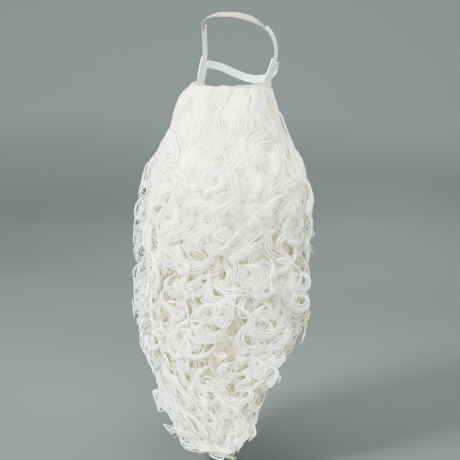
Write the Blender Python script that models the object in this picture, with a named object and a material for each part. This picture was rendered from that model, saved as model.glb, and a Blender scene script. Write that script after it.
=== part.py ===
"""Extra-long curly false beard on an elastic head harness.

The beard is hung on a head: a cloth backing runs from ear to ear under the nose and carries
all the hair, a tab of elastic webbing leaves each of its top corners, and at a fork behind
each temple the tab meets a side strap, which goes up to the crown band, and the nape strap,
which goes round the back of the head.

Metres, +Z up, the face looks along -Y. The origin is on the underside of the crown band,
at its middle, where the harness sits on the top of the head.
"""

import math
import random

import bmesh
import bpy
import numpy as np
from mathutils import Matrix, Vector

# Head that the harness is cut for: its upright axis, and the crown above the widest level.
# Every height and y in the tables is from the top of this head.
HEAD_AXIS_Y = 0.020
WIDEST_HEIGHT = -0.085
CROWN_HALF_BREADTH = 0.0815
CROWN_HALF_LENGTH = 0.108
CROWN_RISE = 0.0855
CROWN_SQUARENESS = 2.4

# Cloth and webbing.
LAYER_GAP = 0.0003
TAB_THICKNESS = 0.0012
BACKING_THICKNESS = 0.0015
ELASTIC_THICKNESS = 0.0010
BAND_THICKNESS = 0.0010
TAB_WIDTH = 0.028
SIDE_STRAP_WIDTH = 0.016
NAPE_STRAP_WIDTH = 0.016
CROWN_BAND_WIDTH = 0.024
CROWN_BAND_NECK = 0.45
STRAP_POINTS_ACROSS = 4

# Heights of the backing's edges, at the middle of the face and at the ears.
TOP_EDGE_FRONT = -0.148
TOP_EDGE_EAR = -0.144
LOW_EDGE_FRONT = -0.252
LOW_EDGE_EAR = -0.192

# Hair: how it is fused, and the clear gap that it keeps to the backing.
HAIR_VOXEL = 0.0048
HAIR_TRIANGLES = 7600
HAIR_GAP = 0.0005
HAIR_SEED = 7

# The head and face below the widest level, as plan ovals: 2 is an ellipse, and a greater
# squareness is a fuller oval.
FORM_COLUMNS = ("height", "half_breadth", "front_reach", "back_reach", "squareness")
FORM_LEVELS = (
    (-0.085, 0.0815, 0.108, 0.108, 2.4),
    (-0.105, 0.0805, 0.110, 0.106, 2.3),
    (-0.125, 0.0785, 0.113, 0.102, 2.2),
    (-0.147, 0.0760, 0.116, 0.098, 2.1),
    (-0.170, 0.0750, 0.118, 0.094, 2.1),
    (-0.195, 0.0725, 0.116, 0.088, 2.1),
    (-0.220, 0.0670, 0.109, 0.080, 2.1),
    (-0.240, 0.0580, 0.096, 0.066, 2.0),
    (-0.256, 0.0470, 0.080, 0.053, 2.0),
    (-0.268, 0.0340, 0.060, 0.040, 2.0),
)

# The body of hair under the outer locks, as bent oval sections. An arc of half width by
# reach is drawn round centre_y, the hair spreads to that many degrees each side of it.
HAIR_COLUMNS = (
    "height", "half_width", "reach", "centre_y", "spread_deg", "thickness", "shift_x",
)
HAIR_LEVELS = (
    (-0.149, 0.0760, 0.120, 0.008, 88, 0.014, -0.003),
    (-0.160, 0.0810, 0.124, 0.008, 88, 0.018, -0.003),
    (-0.182, 0.0860, 0.124, 0.006, 88, 0.026, -0.004),
    (-0.218, 0.0970, 0.128, 0.003, 87, 0.034, -0.001),
    (-0.257, 0.1140, 0.136, -0.002, 84, 0.040, 0.004),
    (-0.297, 0.1380, 0.148, -0.004, 82, 0.042, 0.010),
    (-0.338, 0.1550, 0.157, -0.006, 80, 0.042, 0.013),
    (-0.378, 0.1660, 0.160, -0.006, 78, 0.042, 0.012),
    (-0.460, 0.1700, 0.161, -0.010, 75, 0.042, 0.006),
    (-0.540, 0.1700, 0.160, -0.012, 75, 0.042, 0.004),
    (-0.590, 0.1700, 0.160, -0.012, 74, 0.042, 0.004),
    (-0.640, 0.1690, 0.160, -0.012, 70, 0.040, 0.004),
    (-0.690, 0.1680, 0.160, -0.012, 59, 0.038, 0.003),
    (-0.740, 0.1660, 0.158, -0.012, 46, 0.036, 0.004),
    (-0.800, 0.1640, 0.156, -0.012, 37, 0.032, 0.006),
    (-0.850, 0.1600, 0.154, -0.012, 32, 0.026, 0.014),
    (-0.885, 0.1600, 0.152, -0.012, 20, 0.018, 0.022),
)
SECTION_POINTS = 36

# Rows of locks over the body of hair, from the lip down, each lying over the starts of the
# next. Edge is how far towards the side edges a row reaches. Curl 0 is a flat wave and 1 a
# full ringlet.
LOCK_COLUMNS = (
    "count", "root_height", "tip_height", "edge", "radius", "amplitude", "wave_length",
    "curl",
)
LOCK_ROWS = (
    (13, -0.155, -0.420, 0.96, 0.0095, 0.0065, 0.088, 0.15),
    (12, -0.300, -0.560, 0.98, 0.0100, 0.0110, 0.070, 0.60),
    (12, -0.440, -0.680, 0.98, 0.0090, 0.0140, 0.056, 0.95),
    (10, -0.560, -0.800, 0.92, 0.0085, 0.0150, 0.050, 1.00),
    (6, -0.680, -0.890, 0.86, 0.0080, 0.0160, 0.048, 1.00),
)
LOCK_STEP = 0.0055

# Curls that stand out past the sides, and those that hang below the point of the beard.
SIDE_CURL_COLUMNS = ("side", "height", "reach", "drop", "radius")
SIDE_CURLS = (
    (-1, -0.262, 0.022, 0.040, 0.0050),
    (-1, -0.372, 0.020, 0.045, 0.0055),
    (-1, -0.470, 0.024, 0.050, 0.0055),
    (-1, -0.560, 0.024, 0.048, 0.0055),
    (-1, -0.655, 0.020, 0.046, 0.0050),
    (-1, -0.752, 0.026, 0.044, 0.0050),
    (1, -0.250, 0.018, 0.040, 0.0055),
    (1, -0.360, 0.026, 0.048, 0.0060),
    (1, -0.455, 0.022, 0.048, 0.0055),
    (1, -0.545, 0.020, 0.046, 0.0055),
    (1, -0.640, 0.022, 0.046, 0.0050),
    (1, -0.735, 0.020, 0.044, 0.0050),
)
END_CURL_COLUMNS = ("across", "root_height", "tip_height", "coil_radius", "radius")
END_CURLS = (
    (-0.60, -0.820, -0.870, 0.012, 0.0050),
    (-0.05, -0.850, -0.900, 0.012, 0.0055),
    (0.45, -0.862, -0.918, 0.013, 0.0055),
    (0.90, -0.850, -0.905, 0.011, 0.0050),
)

# Harness paths, on the wearer's left. The crown band's is by the lean from the top of the
# head, the side strap's and the tab's are seen from the side, and the nape strap's is by the
# angle round the head from the nose.
CROWN_COLUMNS = ("lean_deg", "y")
CROWN_PATH = ((0, -0.034), (25, -0.028), (45, -0.006), (62, 0.020))
SIDE_COLUMNS = ("height", "y")
SIDE_PATH = (
    (-0.034, 0.014),
    (-0.048, 0.028),
    (-0.064, 0.036),
    (-0.085, 0.040),
    (-0.104, 0.034),
    (-0.117, 0.027),
)
TAB_PATH = ((-0.102, 0.034), (-0.126, 0.018), (-0.150, 0.000), (-0.172, -0.012))
NAPE_COLUMNS = ("round_deg", "height")
NAPE_PATH = (
    (92, -0.115),
    (104, -0.111),
    (125, -0.118),
    (145, -0.132),
    (165, -0.143),
    (180, -0.146),
)
NAPE_SETTLE_DEG = (106, 124)

# The crown band has its full width up to one lean, its neck from the next, and its end at the last.
BAND_FULL_DEG = 41
BAND_NECK_DEG = 46
BAND_END_DEG = 58


def clear_scene():
    for obj in list(bpy.data.objects):
        bpy.data.objects.remove(obj)


def principled(name, colour, roughness, sheen=0.0):
    """A plain surface of one colour."""
    material = bpy.data.materials.new(name)
    material.use_nodes = True
    shader = material.node_tree.nodes["Principled BSDF"]
    shader.inputs["Base Color"].default_value = (*colour, 1.0)
    shader.inputs["Roughness"].default_value = roughness
    shader.inputs["Metallic"].default_value = 0.0
    shader.inputs["Sheen Weight"].default_value = sheen
    return material


def table_value(rows, columns, column, at):
    """One column of a table, read at a value of the first column, with straight steps between rows."""
    keys = [row[0] for row in rows]
    values = [row[columns.index(column)] for row in rows]
    if keys[0] > keys[-1]:
        keys, values = keys[::-1], values[::-1]
    return float(np.interp(at, keys, values))


def named_rows(columns, rows):
    return [dict(zip(columns, row)) for row in rows]


def signed_power(value, power):
    return math.copysign(abs(value) ** power, value)


def form_level(height):
    """Half breadth, reach to the front and to the back, and squareness of the head at a height."""
    return [table_value(FORM_LEVELS, FORM_COLUMNS, column, height) for column in FORM_COLUMNS[1:]]


def form_point(round_deg, height, lift=0.0):
    """A point of the head below its widest level, by the angle round it from the nose."""
    half_breadth, front, back, squareness = form_level(height)
    angle = math.radians(round_deg)
    reach = front if math.cos(angle) > 0 else back
    across = signed_power(math.sin(angle), 2 / squareness)
    along = signed_power(math.cos(angle), 2 / squareness)
    outward = Vector((
        signed_power(across, squareness - 1) / half_breadth,
        -signed_power(along, squareness - 1) / reach,
        0,
    )).normalized()
    point = Vector((half_breadth * across, HEAD_AXIS_Y - reach * along, height))
    return point + outward * lift


def crown_point(lean_deg, y, lift=0.0):
    """A point of the head's squarish dome, by its lean to the side from the top."""
    lean = math.radians(lean_deg)
    power = CROWN_SQUARENESS
    from_axis = y - HEAD_AXIS_Y
    left_over = 1 - abs(from_axis / CROWN_HALF_LENGTH) ** power
    per_metre = (abs(math.sin(lean)) / CROWN_HALF_BREADTH) ** power
    per_metre += (abs(math.cos(lean)) / CROWN_RISE) ** power
    radius = (left_over / per_metre) ** (1 / power)
    x, rise = radius * math.sin(lean), radius * math.cos(lean)
    outward = Vector((
        signed_power(x / CROWN_HALF_BREADTH, power - 1) / CROWN_HALF_BREADTH,
        signed_power(from_axis / CROWN_HALF_LENGTH, power - 1) / CROWN_HALF_LENGTH,
        signed_power(rise / CROWN_RISE, power - 1) / CROWN_RISE,
    )).normalized()
    return Vector((x, y, rise + WIDEST_HEIGHT)) + outward * lift


def temple_point(height, y, lift=0.0):
    """A point of the wearer's left side of the head, by where it is seen from the side."""
    if height > WIDEST_HEIGHT:
        rise = (height - WIDEST_HEIGHT) / CROWN_RISE
        ring = (1 - rise**CROWN_SQUARENESS) ** (1 / CROWN_SQUARENESS)
        half_breadth = CROWN_HALF_BREADTH * ring
        reach = CROWN_HALF_LENGTH * ring
        squareness = CROWN_SQUARENESS
        steep = signed_power(rise, squareness - 1) / CROWN_RISE
    else:
        half_breadth, front, back, squareness = form_level(height)
        reach = front if y < HEAD_AXIS_Y else back
        ring = 1
        steep = 0
    along = (y - HEAD_AXIS_Y) / reach
    across = (1 - abs(along) ** squareness) ** (1 / squareness)
    outward = Vector((
        (across * ring) ** (squareness - 1) * ring / half_breadth,
        signed_power(along * ring, squareness - 1) * ring / reach,
        steep,
    )).normalized()
    return Vector((half_breadth * across, y, height)) + outward * lift


def mesh_object(name, build, material, smooth=True):
    """A mesh object made from what build() leaves in a bmesh."""
    mesh = bpy.data.meshes.new(name)
    shape = bmesh.new()
    build(shape)
    bmesh.ops.recalc_face_normals(shape, faces=shape.faces)
    shape.to_mesh(mesh)
    shape.free()
    if smooth:
        mesh.shade_smooth()
    mesh.materials.append(material)
    obj = bpy.data.objects.new(name, mesh)
    bpy.context.scene.collection.objects.link(obj)
    return obj


def skin_rows(shape, rows, closed_round=False):
    """Quads between rows of points that all have the same count."""
    laid = [[shape.verts.new(point) for point in row] for row in rows]
    count = len(laid[0])
    last = count if closed_round else count - 1
    for upper, lower in zip(laid, laid[1:]):
        for i in range(last):
            j = (i + 1) % count
            shape.faces.new((upper[i], upper[j], lower[j], lower[i]))
    return laid


def side_name(side):
    """Left and right are the wearer's, who looks along -Y."""
    return "left" if side > 0 else "right"


def smooth_path(rows, steps):
    """Evenly spaced points through a two-column table, its corners rounded by a moving mean."""
    columns = np.array(rows, float).T
    dense = np.linspace(0, len(rows) - 1, steps * 8 + 1)
    path = np.stack([np.interp(dense, range(len(rows)), column) for column in columns], axis=1)
    reach = len(dense) // (2 * (len(rows) - 1))
    means = []
    for i in range(0, len(dense), 8):
        span = min(reach, i, len(dense) - 1 - i)
        means.append(path[i - span : i + span + 1].mean(axis=0))
    return means


def strap(name, surface, path, material, width, thickness, lift=lambda share: 0.0):
    """A strap that lies on a surface along a path of its two coordinates. Width and lift
    are given for the share of the path that is behind."""
    spots = [surface(*spot) for spot in path]
    nudge = 1e-3
    rows = []
    for i, (u, v) in enumerate(path):
        share = i / (len(path) - 1)
        along = (spots[min(i + 1, len(spots) - 1)] - spots[max(i - 1, 0)]).normalized()
        by_u = (surface(u + nudge, v) - surface(u - nudge, v)) / (2 * nudge)
        by_v = (surface(u, v + nudge) - surface(u, v - nudge)) / (2 * nudge)
        across = along.cross(by_u.cross(by_v)).normalized()
        steps = np.linalg.lstsq(np.array([by_u, by_v]).T, np.array(across), rcond=None)[0]
        offsets = np.linspace(-0.5, 0.5, STRAP_POINTS_ACROSS) * width(share)
        low = lift(share)
        inner = [surface(u + s * steps[0], v + s * steps[1], low) for s in offsets]
        outer = [surface(u + s * steps[0], v + s * steps[1], low + thickness) for s in offsets]
        rows.append(inner + outer[::-1])

    def build(shape):
        laid = skin_rows(shape, rows, closed_round=True)
        for end in (laid[0], laid[-1]):
            for i in range(STRAP_POINTS_ACROSS - 1):
                shape.faces.new((end[i], end[i + 1], end[-2 - i], end[-1 - i]))

    return mesh_object(name, build, material, smooth=False)


def build_crown_band(material):
    """Sheer ribbon over the crown, gathered to a neck at each end where the side strap takes it."""
    path = [
        (lean, table_value(CROWN_PATH, CROWN_COLUMNS, "y", abs(lean)))
        for lean in np.linspace(-BAND_END_DEG, BAND_END_DEG, 37)
    ]

    def width(share):
        lean = abs(2 * share - 1) * BAND_END_DEG
        return CROWN_BAND_WIDTH * np.interp(
            lean, (BAND_FULL_DEG, BAND_NECK_DEG), (1, CROWN_BAND_NECK)
        )

    return strap("crown_band", crown_point, path, material, width, BAND_THICKNESS)


def side_surface(side):
    """The side of the head as its height and y, for paths on the wearer's left or right."""

    def surface(height, y, lift=0.0):
        point = temple_point(height, y, lift)
        point.x *= side
        return point

    return surface


def build_side_strap(side, material):
    """Elastic from the crown band's neck down to the fork, where it lies over the tab."""
    over_band = BAND_THICKNESS + LAYER_GAP
    over_tab = TAB_THICKNESS + LAYER_GAP
    return strap(
        f"{side_name(side)}_side_strap",
        side_surface(side),
        smooth_path(SIDE_PATH, 16),
        material,
        lambda share: SIDE_STRAP_WIDTH,
        ELASTIC_THICKNESS,
        lambda share: over_band + (over_tab - over_band) * share,
    )


def build_tab(side, material):
    """Webbing tab from behind the backing's top corner up to the fork."""
    return strap(
        f"{side_name(side)}_tab",
        side_surface(side),
        smooth_path(TAB_PATH, 9),
        material,
        lambda share: TAB_WIDTH,
        TAB_THICKNESS,
    )


def build_nape_strap(material):
    """Elastic from fork to fork round the back of the head, its ends over the side straps."""
    lift_at_fork = TAB_THICKNESS + ELASTIC_THICKNESS + 2 * LAYER_GAP
    half = smooth_path(NAPE_PATH, 18)
    path = half + [(360 - round_deg, height) for round_deg, height in half[-2::-1]]

    def lift(share):
        from_nose = path[round(share * (len(path) - 1))][0]
        return np.interp(min(from_nose, 360 - from_nose), NAPE_SETTLE_DEG, (lift_at_fork, 0))

    return strap(
        "nape_strap", form_point, path, material,
        lambda share: NAPE_STRAP_WIDTH, ELASTIC_THICKNESS, lift,
    )


def backing_edge(round_deg, front, ear):
    """Height of one edge of the backing, lowest or highest in front and eased towards the ears."""
    share = math.sin(math.radians(round_deg)) ** 2
    return front + (ear - front) * share


def build_backing(material):
    """Cloth foundation round the lower face, cupped under the chin, just outside the tabs."""
    lift = TAB_THICKNESS + LAYER_GAP
    columns = np.linspace(-92, 92, 33)
    shares = np.linspace(0, 1, 8)

    def layer(outset):
        rows = []
        for share in shares:
            row = []
            for round_deg in columns:
                top = backing_edge(round_deg, TOP_EDGE_FRONT, TOP_EDGE_EAR)
                low = backing_edge(round_deg, LOW_EDGE_FRONT, LOW_EDGE_EAR)
                height = top + (low - top) * share
                row.append(form_point(round_deg, height, outset))
            rows.append(row)
        return rows

    def build(shape):
        inner = skin_rows(shape, layer(lift))
        outer = skin_rows(shape, layer(lift + BACKING_THICKNESS))
        rims = (
            (inner[0], outer[0]),
            (inner[-1], outer[-1]),
            ([row[0] for row in inner], [row[0] for row in outer]),
            ([row[-1] for row in inner], [row[-1] for row in outer]),
        )
        for inside, outside in rims:
            for i in range(len(inside) - 1):
                shape.faces.new((inside[i], inside[i + 1], outside[i + 1], outside[i]))

    return mesh_object("backing", build, material)


def hair_level(height):
    return {
        column: table_value(HAIR_LEVELS, HAIR_COLUMNS, column, height) for column in HAIR_COLUMNS
    }


def hair_point(height, across, depth):
    """A point of the hair. across runs from -1 to 1 between its side edges, and depth from
    -1, against the wearer, through 0, half way, to 1, the outer face."""
    level = hair_level(height)
    angle = math.radians(across * level["spread_deg"])
    outward = Vector((
        level["reach"] * math.sin(angle), -level["half_width"] * math.cos(angle), 0
    )).normalized()
    middle = Vector((
        level["shift_x"] + level["half_width"] * math.sin(angle),
        HEAD_AXIS_Y + level["centre_y"] - level["reach"] * math.cos(angle),
        height,
    ))
    return middle + outward * depth * level["thickness"] / 2, outward


def build_hair_body(shape):
    """The body of hair, lofted through one bent oval section for each level."""
    sections = []
    for row in HAIR_LEVELS:
        section = []
        for i in range(SECTION_POINTS):
            turn = 2 * math.pi * i / SECTION_POINTS
            across = signed_power(math.cos(turn), 0.8)
            depth = signed_power(math.sin(turn), 0.6)
            section.append(hair_point(row[0], across, depth)[0])
        sections.append(section)
    laid = skin_rows(shape, sections, closed_round=True)
    shape.faces.new(laid[0])
    shape.faces.new(laid[-1])


def lock_path(root, tip, across_root, across_tip, amplitude, wave_length, curl, phase):
    """Centre line of a lock on the outer face of the hair. It sways across the hair, and with
    curl it also leaves and meets it again, so that it turns round like a corkscrew."""
    steps = max(6, round((root - tip) / LOCK_STEP))
    points = []
    for i in range(steps + 1):
        share = i / steps
        height = root + (tip - root) * share
        across = across_root + (across_tip - across_root) * share
        point, outward = hair_point(height, across, 1.0)
        sideways = outward.cross(Vector((0, 0, 1))).normalized()
        turn = phase + 2 * math.pi * (root - height) / wave_length
        swing = amplitude * min(1, 0.25 + 1.5 * share)
        point += sideways * swing * math.sin(turn)
        point += outward * curl * swing * (0.55 + 0.45 * math.cos(turn))
        points.append(point)
    return points


def row_of_locks(row, chance):
    """Paths and thicknesses of one row of locks, evenly set across the hair, each a little its own."""
    paths = []
    for i in range(row["count"]):
        spot = (2 * (i + 0.5) / row["count"] - 1) * row["edge"]
        drift = chance.uniform(-0.05, 0.05)
        across_tip = max(-0.98, min(0.98, spot + drift))
        reach = chance.uniform(-0.03, 0.03)
        points = lock_path(
            row["root_height"] + (reach if row["root_height"] < -0.2 else 0),
            row["tip_height"] + chance.uniform(-0.025, 0.025),
            spot,
            across_tip,
            row["amplitude"] * chance.uniform(0.85, 1.2),
            row["wave_length"] * chance.uniform(0.88, 1.15),
            row["curl"],
            chance.uniform(0, 2 * math.pi),
        )
        paths.append((points, row["radius"] * chance.uniform(0.85, 1.2)))
    return paths


def side_curl(curl):
    """A loop that leaves the side edge of the hair, stands out from it and comes back lower down."""
    points = []
    steps = 14
    for i in range(steps + 1):
        share = i / steps
        height = curl["height"] - curl["drop"] * share
        point, _ = hair_point(height, curl["side"] * 0.97, 0)
        stand = curl["reach"] * math.sin(math.pi * share)
        points.append(point + Vector((curl["side"] * stand, -0.3 * stand, 0)))
    return points, curl["radius"]


def end_curl(curl):
    """A ringlet that hangs below the point of the beard."""
    points = []
    steps = 22
    for i in range(steps + 1):
        share = i / steps
        height = curl["root_height"] + (curl["tip_height"] - curl["root_height"]) * share
        low = max(height, HAIR_LEVELS[-1][0])
        point, outward = hair_point(low, curl["across"], 0.4)
        point.z = height
        turn = 2 * math.pi * share * 1.5
        sideways = outward.cross(Vector((0, 0, 1)))
        point += sideways * curl["coil_radius"] * math.sin(turn)
        point += outward * curl["coil_radius"] * 0.6 * (1 - math.cos(turn))
        points.append(point)
    return points, curl["radius"]


def locks_mesh(paths):
    """Every lock as a round-ended tube, thick at the root half and drawn out to a tip."""
    curve = bpy.data.curves.new("locks", "CURVE")
    curve.dimensions = "3D"
    curve.bevel_depth = 1.0
    curve.bevel_resolution = 2
    curve.use_fill_caps = True
    for points, radius in paths:
        spline = curve.splines.new("POLY")
        spline.points.add(len(points) - 1)
        for i, point in enumerate(points):
            share = i / (len(points) - 1)
            spline.points[i].co = (*point, 1)
            spline.points[i].radius = radius * (1 - 0.55 * share**2)
    guide = bpy.data.objects.new("locks", curve)
    bpy.context.scene.collection.objects.link(guide)
    graph = bpy.context.evaluated_depsgraph_get()
    mesh = bpy.data.meshes.new_from_object(guide.evaluated_get(graph))
    bpy.data.objects.remove(guide)
    return mesh


def build_face_form(material):
    """Cutter: the head and backing, with the clear gap round them, run back past the ears."""
    lift = TAB_THICKNESS + LAYER_GAP + BACKING_THICKNESS + HAIR_GAP
    columns = np.linspace(-92, 92, 41)
    heights = np.linspace(-0.130, FORM_LEVELS[-1][0], 24)
    behind = 0.10

    def build(shape):
        rows = []
        for height in heights:
            row = [form_point(round_deg, height, lift) for round_deg in columns]
            last, first = row[-1].copy(), row[0].copy()
            last.y = first.y = behind
            rows.append([*row, last, first])
        laid = skin_rows(shape, rows, closed_round=True)
        shape.faces.new(laid[0])
        shape.faces.new(laid[-1])

    form = mesh_object("face_form", build, material)
    form.hide_render = True
    form.display_type = "WIRE"
    return form


def build_hair(material):
    """All the hair: the body and the locks over it, fused, and hollowed where the face goes."""
    chance = random.Random(HAIR_SEED)
    paths = []
    for row in named_rows(LOCK_COLUMNS, LOCK_ROWS):
        paths += row_of_locks(row, chance)
    paths += [side_curl(curl) for curl in named_rows(SIDE_CURL_COLUMNS, SIDE_CURLS)]
    paths += [end_curl(curl) for curl in named_rows(END_CURL_COLUMNS, END_CURLS)]
    locks = locks_mesh(paths)

    def build(shape):
        build_hair_body(shape)
        shape.from_mesh(locks)

    hair = mesh_object("beard_hair", build, material)
    fuse = hair.modifiers.new("fuse", "REMESH")
    fuse.mode = "VOXEL"
    fuse.voxel_size = HAIR_VOXEL
    fuse.use_smooth_shade = True
    graph = bpy.context.evaluated_depsgraph_get()
    fused = hair.evaluated_get(graph).to_mesh()
    fused.calc_loop_triangles()
    thin = hair.modifiers.new("thin", "DECIMATE")
    thin.ratio = HAIR_TRIANGLES / len(fused.loop_triangles)
    hollow = hair.modifiers.new("hollow", "BOOLEAN")
    hollow.operation = "DIFFERENCE"
    hollow.object = build_face_form(material)
    return hair


def main():
    clear_scene()
    hair_white = principled("white_fibre", (0.86, 0.86, 0.82), 0.5, sheen=0.3)
    cloth_white = principled("white_cloth", (0.82, 0.81, 0.77), 0.85)
    elastic_white = principled("white_elastic", (0.84, 0.86, 0.88), 0.7)
    sheer_ribbon = principled("sheer_ribbon", (0.78, 0.75, 0.68), 0.6)

    build_backing(cloth_white)
    build_hair(hair_white)
    for side in (1, -1):
        build_tab(side, elastic_white)
        build_side_strap(side, elastic_white)
    build_nape_strap(elastic_white)
    build_crown_band(sheer_ribbon)

    # All pieces are laid round the head's axis, and now go to where the band's middle is zero.
    seat = crown_point(0, CROWN_PATH[0][1])
    for obj in bpy.data.objects:
        obj.data.transform(Matrix.Translation(-seat))


main()
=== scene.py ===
# %% [markdown]
# # A long curly false beard, made of hair locks
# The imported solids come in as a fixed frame: it fixes every size and place. The harness keeps
# its solids and gets woven surfaces. The plain hair solid is replaced with several thousand
# strands, which are made as arrays of points and joined into a few closed meshes.

import math

import bmesh
import bpy
import numpy as np
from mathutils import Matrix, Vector


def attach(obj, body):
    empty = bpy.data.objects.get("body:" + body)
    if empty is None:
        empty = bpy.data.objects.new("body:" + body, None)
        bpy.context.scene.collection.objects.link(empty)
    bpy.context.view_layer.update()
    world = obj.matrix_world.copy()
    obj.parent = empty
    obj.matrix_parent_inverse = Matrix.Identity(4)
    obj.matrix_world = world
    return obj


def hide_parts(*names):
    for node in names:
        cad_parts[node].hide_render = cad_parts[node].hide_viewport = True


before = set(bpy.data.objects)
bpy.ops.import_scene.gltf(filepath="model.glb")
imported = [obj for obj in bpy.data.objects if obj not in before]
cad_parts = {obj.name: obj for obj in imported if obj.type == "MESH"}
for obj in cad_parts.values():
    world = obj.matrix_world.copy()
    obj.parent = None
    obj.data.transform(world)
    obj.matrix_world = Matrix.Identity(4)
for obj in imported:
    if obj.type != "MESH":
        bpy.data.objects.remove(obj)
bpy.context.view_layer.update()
chance = np.random.default_rng(20)
print("nodes:", sorted(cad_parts))

# %% [markdown]
# ## Where the camera stands
# The photograph looks at the beard from the wearer's left of the face, from the height of the
# top of the head, with the camera tipped down. The image is 460 by 460. The frame's origin is
# under the crown band, and the tables below measure from the top of the head.

# %% Camera
HEAD_TOP = (0.0, 0.034, 0.0067)
# The head's upright axis lies this far behind its top.
HEAD_AXIS_Y = 0.020
VIEW_AZIMUTH = math.radians(26)
VIEW_DISTANCE = 2.16
VIEW_PITCH = math.radians(12)
FOCAL_PIXELS = 1030
IMAGE_PIXELS = 460
SHIFT_PIXELS = -2
SENSOR_WIDTH = 36

camera_data = bpy.data.cameras.new("photo_camera")
camera_data.sensor_width = SENSOR_WIDTH
camera_data.lens = FOCAL_PIXELS / IMAGE_PIXELS * SENSOR_WIDTH
camera_data.shift_x = SHIFT_PIXELS / IMAGE_PIXELS
camera = bpy.data.objects.new("photo_camera", camera_data)
camera.location = Vector(HEAD_TOP) + Vector((
    math.sin(VIEW_AZIMUTH) * VIEW_DISTANCE,
    -math.cos(VIEW_AZIMUTH) * VIEW_DISTANCE,
    0,
))
camera.rotation_euler = (math.pi / 2 - VIEW_PITCH, 0, VIEW_AZIMUTH)
bpy.context.scene.collection.objects.link(camera)
bpy.context.scene.camera = camera
print("camera at", [round(value, 2) for value in camera.location])

# %% [markdown]
# ## Materials from nodes
# A helper makes each material's nodes. Colours and bump come from object coordinates or from
# values that the meshes carry, and plain numbers sit on the shader's own sockets.

# %% Material helpers
def new_material(name, roughness, **sockets):
    """A material with its node tree and its Principled shader."""
    material = bpy.data.materials.new(name)
    material.use_nodes = True
    tree = material.node_tree
    shader = tree.nodes["Principled BSDF"]
    shader.inputs["Roughness"].default_value = roughness
    for socket, value in sockets.items():
        shader.inputs[socket.replace("_", " ")].default_value = value
    return material, tree, shader


def node(tree, kind, **settings):
    """A node with its settings, and with plain values for the inputs that are named."""
    made = tree.nodes.new(kind)
    for key, value in settings.items():
        if hasattr(made, key):
            setattr(made, key, value)
        else:
            made.inputs[key.replace("_", " ")].default_value = value
    return made


def colour_ramp(tree, factor, *stops):
    """Colours along a value from 0 to 1."""
    ramp = tree.nodes.new("ShaderNodeValToRGB")
    elements = ramp.color_ramp.elements
    while len(elements) < len(stops):
        elements.new(0.5)
    for element, (place, colour) in zip(elements, stops):
        element.position = place
        element.color = (*colour, 1)
    tree.links.new(factor, ramp.inputs["Fac"])
    return ramp.outputs["Color"]


def math_node(tree, operation, *values):
    """A Math node whose inputs are links or plain numbers."""
    made = tree.nodes.new("ShaderNodeMath")
    made.operation = operation
    for socket, value in zip(made.inputs, values):
        if isinstance(value, (int, float)):
            socket.default_value = value
        else:
            tree.links.new(value, socket)
    return made.outputs["Value"]


def bump(tree, shader, height, strength, distance):
    """Relief from a height between 0 and 1. The distance is its depth in metres."""
    made = node(tree, "ShaderNodeBump")
    made.inputs["Strength"].default_value = strength
    made.inputs["Distance"].default_value = distance
    tree.links.new(height, made.inputs["Height"])
    tree.links.new(made.outputs["Normal"], shader.inputs["Normal"])


# %% [markdown]
# ## White fibre
# Every strand carries a value of tone and painted shade: 1 for the bright outer strands and
# lower for what lies deep in the beard, where painted shade turns the white to a warm cream.
# Combed hair also carries lane, a place across the lock, and run, the distance along it.

# %% Hair material
# Hair colours along painted shade and tone: white for outer strands, warm cream as painted shade.
HAIR_WHITE_AND_PAINTED_SHADE_STOPS = (
    (0.0, (0.56, 0.50, 0.27)),
    (0.35, (0.82, 0.82, 0.62)),
    (0.7, (0.90, 0.945, 0.82)),
    (1.0, (0.94, 0.985, 0.92)),
)
FIBRE_SCALES = (("lane", 300.0, "X"), ("run", 7.0, "Y"))


def hair_material(name, roughness):
    """Single strands, in the colour that their painted shade and tone give."""
    material, tree, shader = new_material(name, roughness, Subsurface_Weight=0.12)
    shader.inputs["Subsurface Scale"].default_value = 0.002
    shader.inputs["Subsurface Radius"].default_value = (1.0, 0.95, 0.85)
    # Painted shade and tone, carried by the mesh, pick the colour.
    tone_and_painted_shade = node(tree, "ShaderNodeAttribute", attribute_name="tone_and_painted_shade")
    tree.links.new(
        colour_ramp(tree, tone_and_painted_shade.outputs["Fac"], *HAIR_WHITE_AND_PAINTED_SHADE_STOPS), shader.inputs["Base Color"]
    )
    return material


def combed_material(name, roughness):
    """Hair that lies combed: fine streaks run along the lock."""
    material, tree, shader = new_material(name, roughness)
    place = tree.nodes.new("ShaderNodeCombineXYZ")
    for key, stretch, socket in FIBRE_SCALES:
        carried = node(tree, "ShaderNodeAttribute", attribute_name=key)
        scaled = math_node(tree, "MULTIPLY", carried.outputs["Fac"], stretch)
        tree.links.new(scaled, place.inputs[socket])
    fibres = node(tree, "ShaderNodeTexNoise", Scale=1.0, Detail=3.0)
    tree.links.new(place.outputs["Vector"], fibres.inputs["Vector"])
    # Painted shade and tone from the mesh, with the fibre streaks added to it.
    tone_and_painted_shade = node(tree, "ShaderNodeAttribute", attribute_name="tone_and_painted_shade")
    streak = math_node(tree, "MULTIPLY_ADD", fibres.outputs["Fac"], 2.0, -1.0)
    mixed = math_node(tree, "ADD", tone_and_painted_shade.outputs["Fac"], streak)
    tree.links.new(colour_ramp(tree, mixed, *HAIR_WHITE_AND_PAINTED_SHADE_STOPS), shader.inputs["Base Color"])
    bump(tree, shader, fibres.outputs["Fac"], 0.9, 0.002)
    return material


strand_white = hair_material("strand_white", 0.35)
combed_white = combed_material("combed_white", 0.35)
print("materials:", strand_white.name, combed_white.name)
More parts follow.
